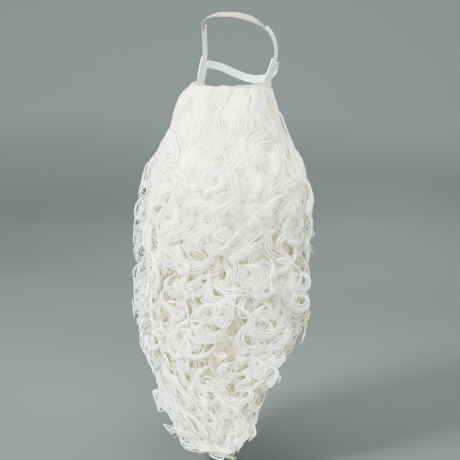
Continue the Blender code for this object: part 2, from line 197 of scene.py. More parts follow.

# %% [markdown]
# ## Woven surfaces of the harness
# The straps and tabs are ribbed elastic: ribs run along each strap and finer picks across it,
# with painted shade in the grooves between the threads. The crown band is a thin cream ribbon
# that is drawn up into creases along its length, with painted shade in the creases.

# %% Harness materials
WOVEN_COLUMNS = (
    "material", "node", "along", "across", "rib", "pick", "painted_groove_shade", "light", "roughness",
)
# Colours of the grooves, as painted shade, and of the threads.
ELASTIC_GROOVE_SHADE_AND_WHITE = ((0.24, 0.26, 0.28), (0.84, 0.87, 0.88))
CLOTH_GROOVE_SHADE_AND_CREAM = ((0.50, 0.47, 0.40), (0.84, 0.82, 0.75))
WEAVES = (
    ("tab_webbing_left", "left_tab", "Z", "tab", 0.0075, 0.0030, *ELASTIC_GROOVE_SHADE_AND_WHITE, 0.75),
    ("tab_webbing_right", "right_tab", "Z", "tab", 0.0075, 0.0030, *ELASTIC_GROOVE_SHADE_AND_WHITE, 0.75),
    ("elastic_left", "left_side_strap", "Z", "strap", 0.0055, 0.0030, *ELASTIC_GROOVE_SHADE_AND_WHITE, 0.7),
    ("elastic_right", "right_side_strap", "Z", "strap", 0.0055, 0.0030, *ELASTIC_GROOVE_SHADE_AND_WHITE, 0.7),
    ("elastic_nape", "nape_strap", "round", "Z", 0.0040, 0.0016, *ELASTIC_GROOVE_SHADE_AND_WHITE, 0.7),
    ("backing_weave", "backing", "round", "Z", 0.0016, 0.0016, *CLOTH_GROOVE_SHADE_AND_CREAM, 0.9),
)
HEAD_RADIUS = 0.095
# Above and below its rearmost height the side strap bows forward by STRAP_BOW times the
# square of the distance from it.
STRAP_REAR_HEIGHT = HEAD_TOP[2] - 0.084
STRAP_BOW = 10.4
# The tab leans back by TAB_SLOPE for each metre that it rises.
TAB_SLOPE = 0.657
CREASE_SCALE = (14, 260, 60)


def weave_height(tree, along, across, rib, pick):
    """From 0 to 1 over the ribs and picks of a weave, from the object's own coordinates."""
    where = tree.nodes.new("ShaderNodeTexCoord")
    split = tree.nodes.new("ShaderNodeSeparateXYZ")
    tree.links.new(where.outputs["Object"], split.inputs["Vector"])
    places = {axis: split.outputs[axis] for axis in "XYZ"}
    from_axis = math_node(tree, "SUBTRACT", places["Y"], HEAD_TOP[1] + HEAD_AXIS_Y)
    turn = math_node(tree, "ARCTAN2", places["X"], from_axis)
    places["round"] = math_node(tree, "MULTIPLY", turn, HEAD_RADIUS)
    from_rear = math_node(tree, "SUBTRACT", places["Z"], STRAP_REAR_HEIGHT)
    bow = math_node(tree, "MULTIPLY", math_node(tree, "POWER", from_rear, 2.0), STRAP_BOW)
    places["strap"] = math_node(tree, "ADD", places["Y"], bow)
    places["tab"] = math_node(tree, "MULTIPLY_ADD", places["Z"], -TAB_SLOPE, places["Y"])
    waves = []
    for axis, pitch in ((across, rib), (along, pick)):
        angle = math_node(tree, "MULTIPLY", places[axis], 2 * math.pi / pitch)
        waves.append(math_node(tree, "SINE", angle))
    mixed = math_node(tree, "MULTIPLY_ADD", waves[1], 0.4, waves[0])
    return math_node(tree, "MULTIPLY_ADD", mixed, 1 / 3, 0.5), where


def woven(name, along, across, rib, pick, painted_groove_shade, light, roughness):
    """Ribbed weave with painted shade in the grooves between its threads."""
    material, tree, shader = new_material(name, roughness, Sheen_Weight=0.2)
    height, where = weave_height(tree, along, across, rib, pick)
    uneven = node(tree, "ShaderNodeTexNoise", Scale=90.0, Detail=3.0)
    tree.links.new(where.outputs["Object"], uneven.inputs["Vector"])
    # Painted shade: darker in the grooves between the threads, with random unevenness.
    mixed = math_node(tree, "MULTIPLY_ADD", uneven.outputs["Fac"], 0.5, height)
    tint = colour_ramp(tree, mixed, (0.45, painted_groove_shade), (0.95, light))
    tree.links.new(tint, shader.inputs["Base Color"])
    bump(tree, shader, height, 0.8, 0.0010)
    return material


def creased_ribbon(name):
    """Thin cream ribbon creased along X as it runs over the crown, with painted shade in the
    creases.
    """
    material, tree, shader = new_material(name, 0.5, Sheen_Weight=0.2)
    where = tree.nodes.new("ShaderNodeTexCoord")
    stretch = tree.nodes.new("ShaderNodeMapping")
    stretch.inputs["Scale"].default_value = CREASE_SCALE
    tree.links.new(where.outputs["Object"], stretch.inputs["Vector"])
    crease_relief_and_shade = node(tree, "ShaderNodeTexNoise", Scale=1.0, Detail=4.0)
    tree.links.new(stretch.outputs["Vector"], crease_relief_and_shade.inputs["Vector"])
    # Painted shade: darker in the valleys of the creases.
    tint = colour_ramp(
        tree, crease_relief_and_shade.outputs["Fac"], (0.35, (0.12, 0.105, 0.06)), (0.65, (0.36, 0.325, 0.225))
    )
    tree.links.new(tint, shader.inputs["Base Color"])
    bump(tree, shader, crease_relief_and_shade.outputs["Fac"], 0.7, 0.0008)
    return material


def give_material(node_name, material):
    """Puts the material on all the slots of a solid."""
    for material_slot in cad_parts[node_name].material_slots:
        material_slot.material = material


for values in WEAVES:
    weave = dict(zip(WOVEN_COLUMNS, values))
    name = weave.pop("material")
    node_name = weave.pop("node")
    give_material(node_name, woven(name, **weave))
give_material("crown_band", creased_ribbon("creased_ribbon"))
print("harness materials:", len(WEAVES) + 1)

# %% [markdown]
# ## The form of the beard
# The body of hair is a stack of bent oval sections. A place in it is a height, how far across
# it is from one side edge, -1, to the other, 1, and a depth from -1, against the wearer, to 1.
# reach is how far a section stands in front of the head's axis, and spread_deg how far it
# turns round the face to each side.

# %% Form of the hair
HAIR_COLUMNS = (
    "height", "half_width", "reach", "centre_y", "spread_deg", "thickness", "shift_x",
)
HAIR_LEVELS = (
    (-0.149, 0.0760, 0.120, 0.008, 88, 0.014, -0.003),
    (-0.160, 0.0810, 0.124, 0.008, 88, 0.018, -0.003),
    (-0.182, 0.0860, 0.124, 0.006, 88, 0.026, -0.004),
    (-0.218, 0.0970, 0.128, 0.003, 87, 0.034, -0.001),
    (-0.257, 0.1140, 0.136, -0.002, 84, 0.040, 0.004),
    (-0.297, 0.1380, 0.148, -0.004, 82, 0.042, 0.010),
    (-0.338, 0.1550, 0.157, -0.006, 80, 0.042, 0.013),
    (-0.378, 0.1660, 0.160, -0.006, 78, 0.042, 0.012),
    (-0.460, 0.1700, 0.161, -0.010, 75, 0.042, 0.006),
    (-0.540, 0.1700, 0.160, -0.012, 75, 0.042, 0.004),
    (-0.590, 0.1700, 0.160, -0.012, 74, 0.042, 0.004),
    (-0.640, 0.1690, 0.160, -0.012, 70, 0.040, 0.004),
    (-0.690, 0.1680, 0.160, -0.012, 59, 0.038, 0.003),
    (-0.740, 0.1660, 0.158, -0.012, 46, 0.036, 0.004),
    (-0.800, 0.1640, 0.156, -0.012, 37, 0.032, 0.006),
    (-0.850, 0.1600, 0.154, -0.012, 32, 0.026, 0.014),
    (-0.885, 0.1600, 0.152, -0.012, 20, 0.018, 0.022),
)
# The lowest level comes first, because interpolation needs rising heights.
HAIR_TABLE = np.array(HAIR_LEVELS)[::-1]


def hair_column(name, height):
    """One column of the table, between its levels."""
    return np.interp(height, HAIR_TABLE[:, 0], HAIR_TABLE[:, HAIR_COLUMNS.index(name)])


def hair_point(height, across, depth):
    """Points of the hair and the way out of it, for arrays of the three values."""
    angle = np.radians(across * hair_column("spread_deg", height))
    half_width = hair_column("half_width", height)
    reach = hair_column("reach", height)
    level = np.zeros_like(height + across)
    outward = np.stack([reach * np.sin(angle), -half_width * np.cos(angle), level], axis=-1)
    outward /= np.linalg.norm(outward, axis=-1, keepdims=True)
    point = np.array(HEAD_TOP) + np.stack(
        [
            hair_column("shift_x", height) + half_width * np.sin(angle),
            HEAD_AXIS_Y + hair_column("centre_y", height) - reach * np.cos(angle),
            level + height,
        ],
        axis=-1,
    )
    lift = depth * hair_column("thickness", height) / 2
    return point + outward * np.asarray(lift)[..., None], outward


print("hair levels from", HAIR_LEVELS[0][0], "to", HAIR_LEVELS[-1][0], "m from the head's top")

# %% [markdown]
# ## Strands and sheets of hair as joined meshes
# A strand is a thin tube of three sides. A sheet is a lock whose fibres lie so close that they
# read as one satin band: its strands are joined side by side into a thin closed skin. All the
# strands or sheets of a piece are worked out at once, as arrays.

# %% Joined meshes
TUBE_SIDES = 3
# A direction that no strand starts along.
FIRST_SIDE = (0.31, 0.22, 0.93)
SHEET_THICKNESS = 0.0012
SHEET_EDGE = 0.4


def unit(vectors):
    """The vectors at length 1."""
    return vectors / np.maximum(np.linalg.norm(vectors, axis=-1, keepdims=True), 1e-9)


def hair_piece(name, mesh, material):
    """An object for a mesh of hair, attached to the root body, with the imported hair hidden."""
    mesh.shade_smooth()
    mesh.materials.append(material)
    piece = bpy.data.objects.new(name, mesh)
    bpy.context.scene.collection.objects.link(piece)
    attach(piece, "root")
    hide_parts("beard_hair")
    mesh.calc_loop_triangles()
    print(name, "has", len(mesh.loop_triangles), "triangles")


def joined_piece(name, corners, faces, values, material):
    """A piece from corners, a list of face arrays and the value arrays that its corners carry."""
    corners = np.concatenate(corners)
    mesh = bpy.data.meshes.new(name)
    mesh.vertices.add(len(corners))
    mesh.vertices.foreach_set("co", corners.ravel())
    mesh.loops.add(sum(part.size for part in faces))
    mesh.loops.foreach_set("vertex_index", np.concatenate([part.ravel() for part in faces]))
    sizes = np.concatenate([np.full(len(part), part.shape[1]) for part in faces])
    mesh.polygons.add(len(sizes))
    mesh.polygons.foreach_set("loop_start", np.cumsum(sizes) - sizes)
    mesh.update(calc_edges=True)
    for key, parts in values.items():
        layer = mesh.attributes.new(key, "FLOAT", "POINT")
        layer.data.foreach_set("value", np.concatenate(parts).astype(np.float32))
    hair_piece(name, mesh, material)


def strand_mesh(name, groups, material):
    """Tubes round strands. A group is a dict of arrays, [lock, strand, step]."""
    corners, faces, tones_and_painted_shades = [], [], []
    start = 0
    turns = np.arange(TUBE_SIDES) * 2 * math.pi / TUBE_SIDES
    for group in groups:
        locks, strands, steps, _ = group["points"].shape
        points = group["points"].reshape(-1, steps, 3)
        radius = group["radius"].reshape(-1, steps, 1)
        along = unit(np.gradient(points, axis=1))
        side = np.empty_like(points)
        side[:, 0] = unit(np.cross(along[:, 0], FIRST_SIDE))
        for i in range(1, steps):
            kept = side[:, i - 1] - along[:, i] * np.sum(
                side[:, i - 1] * along[:, i], axis=-1, keepdims=True
            )
            side[:, i] = unit(kept)
        other = np.cross(along, side)
        ring = [
            points + radius * (math.cos(turn) * side + math.sin(turn) * other) for turn in turns
        ]
        corners.append(np.stack(ring, axis=2).reshape(-1, 3))
        tones_and_painted_shades.append(np.repeat(group["tone_and_painted_shade"].reshape(-1), TUBE_SIDES))
        index = np.arange(locks * strands * steps * TUBE_SIDES)
        index = start + index.reshape(-1, steps, TUBE_SIDES)
        ahead = np.roll(index, -1, axis=2)
        quad = np.stack([index[:, :-1], ahead[:, :-1], ahead[:, 1:], index[:, 1:]], axis=-1)
        faces += [quad.reshape(-1, 4), index[:, 0, ::-1], index[:, -1]]
        start += index.size
    joined_piece(name, corners, faces, {"tone_and_painted_shade": tones_and_painted_shades}, material)


def squares(a, b, c, d):
    """Faces of four corners each, from four arrays of corner numbers."""
    return np.stack([a, b, c, d], axis=-1).reshape(-1, 4)


def sheet_mesh(name, groups, material):
    """Thin closed skins through the strands of each lock. A group is as for strand_mesh."""
    corners, faces = [], []
    values = {"tone_and_painted_shade": [], "lane": [], "run": []}
    start = 0
    for group in groups:
        points = group["points"]
        locks, strands, steps, _ = points.shape
        normal = unit(np.cross(np.gradient(points, axis=1), np.gradient(points, axis=2)))
        half = np.full(strands, SHEET_THICKNESS / 2)
        half[[0, -1]] *= SHEET_EDGE
        shift = normal * half[None, :, None, None]
        corners.append(np.stack([points + shift, points - shift], axis=1).reshape(-1, 3))
        for key in values:
            both = np.repeat(group[key][:, None], 2, axis=1)
            values[key].append(both.reshape(-1))
        index = np.arange(locks * 2 * strands * steps)
        index = start + index.reshape(locks, 2, strands, steps)
        front = index[:, 0]
        back = index[:, 1]
        faces += [
            squares(front[:, :-1, :-1], front[:, 1:, :-1], front[:, 1:, 1:], front[:, :-1, 1:]),
            squares(back[:, :-1, :-1], back[:, :-1, 1:], back[:, 1:, 1:], back[:, 1:, :-1]),
            squares(front[:, 0, :-1], front[:, 0, 1:], back[:, 0, 1:], back[:, 0, :-1]),
            squares(front[:, -1, 1:], front[:, -1, :-1], back[:, -1, :-1], back[:, -1, 1:]),
            squares(front[:, 1:, 0], front[:, :-1, 0], back[:, :-1, 0], back[:, 1:, 0]),
            squares(front[:, :-1, -1], front[:, 1:, -1], back[:, 1:, -1], back[:, :-1, -1]),
        ]
        start += index.size
    joined_piece(name, corners, faces, values, material)


# %% [markdown]
# ## Laying locks on the hair
# A lock is drawn flat first, and then laid on the form of the hair. The limits keep its loops
# near the body of the beard. Its tips end on a soft lower limit, which rises to both sides and
# differs a little from lock to lock and strand to strand, so that the beard ends round.

# %% Laying
LIFT_LIMIT = 0.021
SIDE_LIFT_LIMIT = 0.034
LOWEST_TIP = -0.912
TIP_SQUEEZE = 0.008
SIDE_RISE = 0.050
LOCK_RISE = 0.007
STRAND_RISE = 0.006
EDGE_LIMIT = 1.12
LEAST_ARC = 0.04
TIP_THIN = 0.35
TAPER_RATE = 8
PAINTED_SHADE_BY_DEPTH = 0.55
PAINTED_SHADE_BY_LAY = 0.15
SHADE_SPREAD = 0.10


def ease(value):
    """From 0 to 1 with a soft start and end."""
    value = np.clip(value, 0, 1)
    return value * value * (3 - 2 * value)


def within(value, limit):
    """The value itself while it is small, and never quite past the limit."""
    return value / (1 + (value / limit) ** 8) ** (1 / 8)


def laid(value, lay, share, sideways, down, lift, chance):
    """Flat strands, as distances sideways and down, laid on the hair and lifted out of it.

    lay is a strand's place across its lock, from -1 to 1, and share the way along it, from 0
    to 1.
    """
    shape = np.broadcast_shapes(lay.shape, share.shape, sideways.shape)
    deep = chance.uniform(-1, 1, lay.shape)
    rounding = SIDE_RISE * value["across"] ** 2 + LOCK_RISE * (1 + np.sin(value["start"]))
    lowest = LOWEST_TIP + STRAND_RISE * deep + rounding
    above = (value["root"] - down - lowest) / TIP_SQUEEZE
    height = lowest + TIP_SQUEEZE * np.logaddexp(0, above)
    arc = hair_column("reach", height) * np.radians(hair_column("spread_deg", height))
    across = value["across"] + sideways * np.cos(value["slant"]) / np.maximum(arc, LEAST_ARC)
    across = within(across, EDGE_LIMIT)
    settled = ease(share / value["settle"])
    depth = value["depth_root"] + (value["depth"] - value["depth_root"]) * settled
    lift = lift + sideways * np.sin(value["slant"])
    lift = within(lift, value["lift_limit"]) * settled
    height, across, depth, lift = np.broadcast_arrays(height, across, depth, lift)
    points, outward = hair_point(height, across, depth)
    points = points + outward * lift[..., None]
    # Painted shade: lower for strands deep in the beard, back halves of loops and lock edges.
    standing = np.abs(depth + 2 * lift / hair_column("thickness", height))
    tone_and_painted_shade = PAINTED_SHADE_BY_DEPTH * (standing - 0.5) + value["tone_and_painted_layer_shading"] - PAINTED_SHADE_BY_LAY * (lay * lay - 0.4)
    taper = np.minimum(1, (1 - share) * TAPER_RATE + TIP_THIN)
    radius = value["radius"] * taper * chance.uniform(0.6, 1.3, lay.shape)
    return {
        "points": points,
        "radius": np.broadcast_to(radius, shape),
        "tone_and_painted_shade": np.clip(tone_and_painted_shade + chance.normal(0, SHADE_SPREAD, lay.shape), 0, 1),
        "lane": np.broadcast_to(value["start"] + lay * value["width"] / 2, shape),
        "run": np.broadcast_to(value["length"] * share, shape),
    }


print("lowest tip at", LOWEST_TIP, "m from the head's top")

# %% [markdown]
# ## Waves
# In the upper part each lock is a path that swings from side to side while it goes down, like a
# river, with its strands side by side.

# %% Waves
def wave_lock(value, lay, own, share):
    """Distances sideways, down and out of strands that swing from side to side."""
    step = value["length"] / (share.shape[2] - 1)
    turn = value["phase"] + 2 * math.pi * value["length"] * share / value["wave"]
    turn = turn + 0.3 * own[0] * share
    # The swing grows from bend to bend_tip.
    swing = value["bend"] + (value["bend_tip"] - value["bend"]) * ease(share * 1.8)
    heading = value["aim"] + swing * np.sin(turn) * (1 + 0.1 * own[1])
    # The lock leaves its root narrow, swells and thins on its way, and closes to its tip.
    width = value["width"] / 2 * lay * (0.55 + 0.45 * ease(share * 6))
    width = width * (0.7 + 0.3 * np.sin(turn * 0.5 + value["start"]) ** 2)
    width = width * (1 - value["close"] * ease(share * 1.6 - 0.6))
    sideways = np.cumsum(np.sin(heading) * step, axis=2) + width * np.cos(heading)
    down = (np.cumsum(np.cos(heading), axis=2) - 1) * step - width * np.sin(heading)
    # No strand climbs over its root.
    down = np.maximum(down * (1 + 0.03 * own[2] * share), -0.001)
    crown = value["crown"] * np.sqrt(np.clip(1.05 - lay * lay, 0.02, 1))
    lift = value["lift"] * (0.5 + 0.5 * np.cos(turn + value["tilt"]))
    return sideways, down, lift + crown


# %% [markdown]
# ## Curls
# Further down each lock coils like a corkscrew that is looked at from the side and a little
# from the end: its loops go round an axis, out of the hair in front and back into it behind.

# %% Curls
def curl_lock(value, lay, own, share):
    """Distances sideways, down and out of strands that coil round an axis."""
    turn = value["phase"] + 2 * math.pi * value["turns"] * share * (1 + 0.06 * own[0])
    turn = turn + 0.22 * own[1]
    band = value["width"] / 2 * lay
    # Loops open over the first part of the lock and draw in towards its tip.
    opened = 0.3 + 0.7 * ease(share * 2.5)
    loop = value["curl"] * opened * (1 - value["close"] * ease(share * 2 - 1))
    loop = loop * (1 + 0.16 * own[2]) + band * np.sin(value["tilt"])
    across_loop = value["hand"] * loop * np.sin(turn)
    down_loop = -loop * value["open"] * np.cos(turn)
    axis = value["length"] * share + band * np.cos(value["tilt"]) + 0.004 * own[3]
    lean = value["aim"]
    drift = value["curl"] * 0.5 * np.sin(2.5 * share + value["start"])
    sideways = drift + across_loop * np.cos(lean) + (down_loop + axis) * np.sin(lean)
    down = (down_loop + axis) * np.cos(lean) - across_loop * np.sin(lean)
    lift = -value["lift"] * np.cos(turn + 0.4 * value["hand"]) + value["crown"] * (1 - lay * lay)
    return sideways, down, lift


# %% [markdown]
# ## The rows of locks
# One entry of a table is one row of locks across the beard, or a patch of them where drop is
# not 0: their roots then lie between root and root less drop. Lengths are in metres, along the
# path of a wave or the axis of a curl, and angles in degrees. edge is how near to the side edges
# the row reaches, loose how far its strands go their own way, close how far the lock narrows to
# its tip, crown how far its middle stands out, slant how far its plane turns out of the hair,
# and open how round a loop looks. A radius of 0 is for sheets.

# %% Columns of the tables
# tone shifts each row's colour as painted shading: lower for layers beneath, higher on the
# wearer's side.
SHARED_COLUMNS = (
    "root", "drop", "length", "locks", "edge", "strands", "steps", "width", "radius",
    "lift", "crown", "slant", "loose", "close", "depth_root", "depth", "tone_and_painted_layer_shading",
)
WAVE_COLUMNS = SHARED_COLUMNS + ("bend", "bend_tip", "wave")
CURL_COLUMNS = SHARED_COLUMNS + ("turns", "curl", "open")
print("columns of a wave:", len(WAVE_COLUMNS), "and of a curl:", len(CURL_COLUMNS))

# %% [markdown]
# The waves leave the top edge and pass into one another over the upper third.

# %% Rows of waves
SATIN_WAVES = (
    (-0.1475, 0, 0.28, 16, 0.94, 9, 26, 0.046, 0.0,
     0.003, 0.003, 12, 0.1, 0.8, 0.7, 0.30, -0.12, 15, 45, 0.105),
    (-0.147, 0, 0.26, 12, 0.88, 9, 26, 0.046, 0.0,
     0.006, 0.006, 20, 0.1, 0.9, 0.9, 0.50, -0.05, 22, 50, 0.095),
    (-0.185, 0.05, 0.26, 18, 0.88, 7, 30, 0.034, 0.0,
     0.008, 0.004, 20, 0.1, 0.9, 0.0, 0.50, -0.05, 35, 60, 0.100),
    (-0.240, 0.06, 0.24, 18, 0.88, 7, 30, 0.030, 0.0,
     0.009, 0.004, 20, 0.2, 0.9, 0.0, 0.50, -0.05, 40, 65, 0.110),
)
FINE_WAVES = (
    (-0.147, 0, 0.27, 11, 0.84, 30, 27, 0.052, 0.00065,
     0.007, 0.012, 20, 0.10, 0.5, 0.9, 0.75, 0.10, 24, 60, 0.095),
    (-0.190, 0.05, 0.27, 12, 0.84, 20, 30, 0.040, 0.00065,
     0.010, 0.011, 25, 0.12, 0.5, 0.0, 0.90, 0.06, 35, 65, 0.100),
    (-0.240, 0.06, 0.26, 16, 0.88, 14, 30, 0.032, 0.00070,
     0.010, 0.009, 25, 0.15, 0.4, 0.0, 0.95, 0.06, 40, 70, 0.110),
)
print("rows of waves:", len(SATIN_WAVES) + len(FINE_WAVES))

# %% [markdown]
# The curls fill the rest: satin ones and a layer underneath that is darker as painted shade,
# and open loops over them.

# %% Rows of curls
SATIN_CURLS = (
    (-0.260, 0.14, 0.14, 22, 0.90, 5, 38, 0.013, 0.0,
     0.008, 0.001, 15, 0.1, 0.8, 0.0, 0.60, 0.10, 2.2, 0.020, 1.0),
    (-0.360, 0.20, 0.12, 14, 0.92, 4, 38, 0.008, 0.0,
     0.008, 0.001, 20, 0.1, 0.8, 0.0, 0.55, 0.05, 2.5, 0.021, 1.0),
)
UNDER_CURLS = (
    (-0.280, 0.16, 0.16, 36, 0.94, 6, 30, 0.030, 0.0009,
     0.005, 0.001, 15, 0.3, 0.3, 0.0, 0.35, -0.05, 1.8, 0.017, 0.7),
    (-0.420, 0.20, 0.16, 44, 0.94, 6, 30, 0.030, 0.0009,
     0.005, 0.001, 15, 0.3, 0.3, 0.0, 0.25, -0.10, 2.0, 0.018, 0.8),
    (-0.600, 0.24, 0.15, 48, 0.92, 6, 30, 0.028, 0.0009,
     0.005, 0.001, 15, 0.3, 0.3, 0.0, 0.25, -0.10, 2.0, 0.018, 0.8),
)
OVER_CURLS = (
    (-0.250, 0.14, 0.13, 26, 0.92, 9, 38, 0.014, 0.00080,
     0.008, 0.003, 25, 0.06, 0.2, 0.0, 0.90, 0.20, 2.0, 0.021, 1.0),
    (-0.340, 0.16, 0.11, 35, 0.94, 8, 44, 0.012, 0.00080,
     0.010, 0.002, 30, 0.06, 0.2, 0.0, 1.00, 0.20, 2.5, 0.022, 1.0),
    (-0.460, 0.17, 0.10, 44, 0.96, 6, 46, 0.010, 0.00080,
     0.010, 0.001, 35, 0.08, 0.2, 0.0, 1.05, 0.18, 2.7, 0.023, 1.0),
    (-0.610, 0.16, 0.10, 42, 0.94, 6, 46, 0.010, 0.00080,
     0.010, 0.001, 35, 0.08, 0.2, 0.0, 1.05, 0.16, 2.7, 0.023, 1.0),
    (-0.740, 0.10, 0.08, 27, 0.92, 6, 42, 0.010, 0.00080,
     0.010, 0.001, 35, 0.08, 0.2, 0.0, 1.00, 0.16, 2.4, 0.021, 1.0),
    (-0.820, 0.05, 0.06, 18, 0.90, 6, 40, 0.009, 0.00080,
     0.009, 0.001, 25, 0.08, 0.2, 0.0, 1.00, 0.16, 2.2, 0.019, 1.0),
)
print("rows of curls:", len(SATIN_CURLS) + len(UNDER_CURLS) + len(OVER_CURLS))

# %% [markdown]
# Loops and strays stand out at the side edges, and on the wearer's side the hair lies flat.

# %% Rows of the edges and the wearer's side
EDGE_CURLS = (
    (-0.240, 0.16, 0.11, 30, 1.0, 5, 38, 0.009, 0.0008,
     0.008, 0.001, 90, 0.15, 0.2, 0.0, 0.8, 0.30, 2.2, 0.015, 1.0),
    (-0.380, 0.28, 0.09, 60, 1.0, 4, 38, 0.009, 0.0007,
     0.009, 0.001, 90, 0.15, 0.2, 0.0, 0.9, 0.25, 2.5, 0.016, 1.0),
    (-0.620, 0.28, 0.09, 60, 1.0, 4, 38, 0.009, 0.0007,
     0.009, 0.001, 90, 0.15, 0.2, 0.0, 0.9, 0.20, 2.5, 0.016, 1.0),
)
STRAY_CURLS = (
    (-0.180, 0.16, 0.14, 15, 1.0, 2, 30, 0.006, 0.00035,
     0.012, 0, 70, 0.4, 0.2, 0.0, 0.8, 0.45, 1.4, 0.016, 0.8),
    (-0.320, 0.50, 0.09, 60, 1.0, 3, 32, 0.007, 0.00055,
     0.012, 0, 90, 0.4, 0.2, 0.0, 1.1, 0.40, 2.0, 0.018, 1.0),
)
EDGE_WAVES = (
    (-0.147, 0.01, 0.24, 9, 1.0, 16, 28, 0.032, 0.0006,
     0.006, 0.005, 20, 0.2, 0.3, 0.5, 0.3, 0.30, 15, 50, 0.105),
    (-0.190, 0.10, 0.26, 12, 1.0, 10, 32, 0.028, 0.0006,
     0.006, 0.005, 40, 0.3, 0.3, 0.5, 0.6, 0.30, 25, 60, 0.110),
)
INNER_WAVES = (
    (-0.150, 0.10, 0.30, 16, 0.92, 10, 16, 0.050, 0.0010,
     -0.001, -0.001, 0, 0.3, 0.2, -0.9, -1.0, 0.50, 8, 25, 0.120),
    (-0.300, 0.30, 0.30, 28, 0.94, 8, 20, 0.040, 0.0010,
     -0.003, -0.002, 0, 0.4, 0.2, -0.6, -1.0, 0.50, 20, 50, 0.120),
    (-0.540, 0.30, 0.24, 26, 0.92, 8, 22, 0.032, 0.0010,
     -0.004, -0.002, 0, 0.4, 0.2, -0.6, -1.0, 0.50, 30, 70, 0.130),
)
print("rows at the edges:", len(EDGE_CURLS) + len(STRAY_CURLS) + len(EDGE_WAVES))

# %% [markdown]
# ## From a row to its locks
# Every lock gets a root, an aim and sizes that differ a little from its row's. Locks of the
# edges take turns at three spots: both side edges, and the turn of the cheek that the
# photograph's view passes, where their plane turns out of the hair.

# %% Spreading the locks
EDGE_SPOTS = (0.97, -0.97, -0.80)
CHEEK_TURN = 2
CHEEK_SLANT = math.radians(65)
WAVE_AIM_DEG = 7
CURL_AIM_DEG = 30
STIFF_ROOT = 0.12
SOFT_ROOT = 0.25


def spread_locks(row, chance, edges=False):
    """The locks of one row, spread across the beard and each a little its own."""
    count = row["locks"]
    curly = "curl" in row
    spots = 2 * (np.arange(count) + 0.5) / count - 1
    spots = (spots + chance.normal(0, 0.25 / count, count)) * row["edge"]
    depth = row["depth"] * chance.uniform(0.8, 1.1, count)
    slant = np.radians(row["slant"]) * chance.uniform(-1, 1, count)
    if edges:
        place = np.arange(count) % len(EDGE_SPOTS)
        spots = np.choose(place, EDGE_SPOTS) + chance.normal(0, 0.04, count)
        depth = depth * chance.uniform(-0.9, 1.0, count)
        depth = np.where(place == CHEEK_TURN, row["depth"], depth)
        slant = np.where(place == CHEEK_TURN, CHEEK_SLANT + 0.3 * slant, 0.3 * slant)
    vary = chance.uniform(0.8, 1.2, (6, count))
    locks = {
        "root": row["root"] - row["drop"] * chance.permutation(np.arange(count)) / count,
        "length": row["length"] * vary[0],
        "across": spots,
        "aim": np.radians(chance.normal(0, CURL_AIM_DEG if curly else WAVE_AIM_DEG, count)),
        "start": chance.uniform(0, 2 * math.pi, count),
        "phase": chance.uniform(0, 2 * math.pi, count),
        "hand": chance.choice([-1.0, 1.0], count),
        "tilt": chance.uniform(0.2, 1.3, count),
        "slant": slant,
        "width": row["width"] * vary[1],
        "lift_limit": np.full(count, LIFT_LIMIT),
        "settle": np.full(count, STIFF_ROOT if row["depth_root"] > 0.4 else SOFT_ROOT),
        "depth": depth,
        # The row's painted shading, with a random tone of each lock.
        "tone_and_painted_layer_shading": row["tone_and_painted_layer_shading"] + chance.normal(0, 0.10, count),
    }
    locks["lift"] = row["lift"] * (chance.uniform(0.2, 1.2, count) if curly else np.ones(count))
    if edges:
        locks["lift_limit"][place == CHEEK_TURN] = SIDE_LIFT_LIMIT
    for key in ("radius", "crown", "close", "depth_root"):
        locks[key] = np.full(count, float(row[key]))
    locks["loose"] = row["loose"] * vary[1]
    if curly:
        locks["turns"] = row["turns"] * vary[2]
        locks["curl"] = row["curl"] * chance.uniform(0.65, 1.35, count)
        locks["open"] = row["open"] * chance.uniform(0.6, 1.05, count)
    else:
        locks["bend"] = np.radians(row["bend"] * vary[2])
        locks["bend_tip"] = np.radians(row["bend_tip"] * vary[2])
        locks["wave"] = row["wave"] * vary[3]
    return locks


def rows_of_locks(rows, columns, chance, edges=False):
    """The strands of the rows of one table, as groups of arrays."""
    groups = []
    draw = curl_lock if "curl" in columns else wave_lock
    for values in rows:
        row = dict(zip(columns, values))
        locks = spread_locks(row, chance, edges)
        count, strands = row["locks"], row["strands"]
        value = {key: column[:, None, None] for key, column in locks.items()}
        share = np.linspace(0, 1, row["steps"])[None, None, :]
        lay = np.linspace(-1, 1, strands)[None, :, None] + np.zeros((count, 1, 1))
        # own holds four small differences of every strand. Sheets have none.
        own = np.zeros((4, count, 1, 1))
        if row["radius"] > 0:
            lay = lay + chance.normal(0, 0.10, lay.shape)
            own = chance.normal(0, 1, (4, count, strands, 1)) * value["loose"]
        sideways, down, lift = draw(value, lay, own, share)
        groups.append(laid(value, lay, share, sideways, down, lift, chance))
    return groups


print("spots of the edges:", EDGE_SPOTS)

# %% [markdown]
# ## The pieces of hair
# Each table becomes one or two pieces.

# %% Pieces of hair
sheet_mesh("hair_satin_waves", rows_of_locks(SATIN_WAVES, WAVE_COLUMNS, chance), combed_white)
sheet_mesh("hair_satin_curls", rows_of_locks(SATIN_CURLS, CURL_COLUMNS, chance), combed_white)
strand_mesh("hair_fine_waves", rows_of_locks(FINE_WAVES, WAVE_COLUMNS, chance), strand_white)
strand_mesh("hair_under_upper", rows_of_locks(UNDER_CURLS[:2], CURL_COLUMNS, chance), strand_white)
strand_mesh("hair_under_lower", rows_of_locks(UNDER_CURLS[2:], CURL_COLUMNS, chance), strand_white)
strand_mesh("hair_over_upper", rows_of_locks(OVER_CURLS[:2], CURL_COLUMNS, chance), strand_white)
strand_mesh("hair_over_middle", rows_of_locks(OVER_CURLS[2:3], CURL_COLUMNS, chance), strand_white)
strand_mesh("hair_over_lower", rows_of_locks(OVER_CURLS[3:], CURL_COLUMNS, chance), strand_white)
edge_waves = rows_of_locks(EDGE_WAVES, WAVE_COLUMNS, chance, edges=True)
edge_curls = rows_of_locks(EDGE_CURLS, CURL_COLUMNS, chance, edges=True)
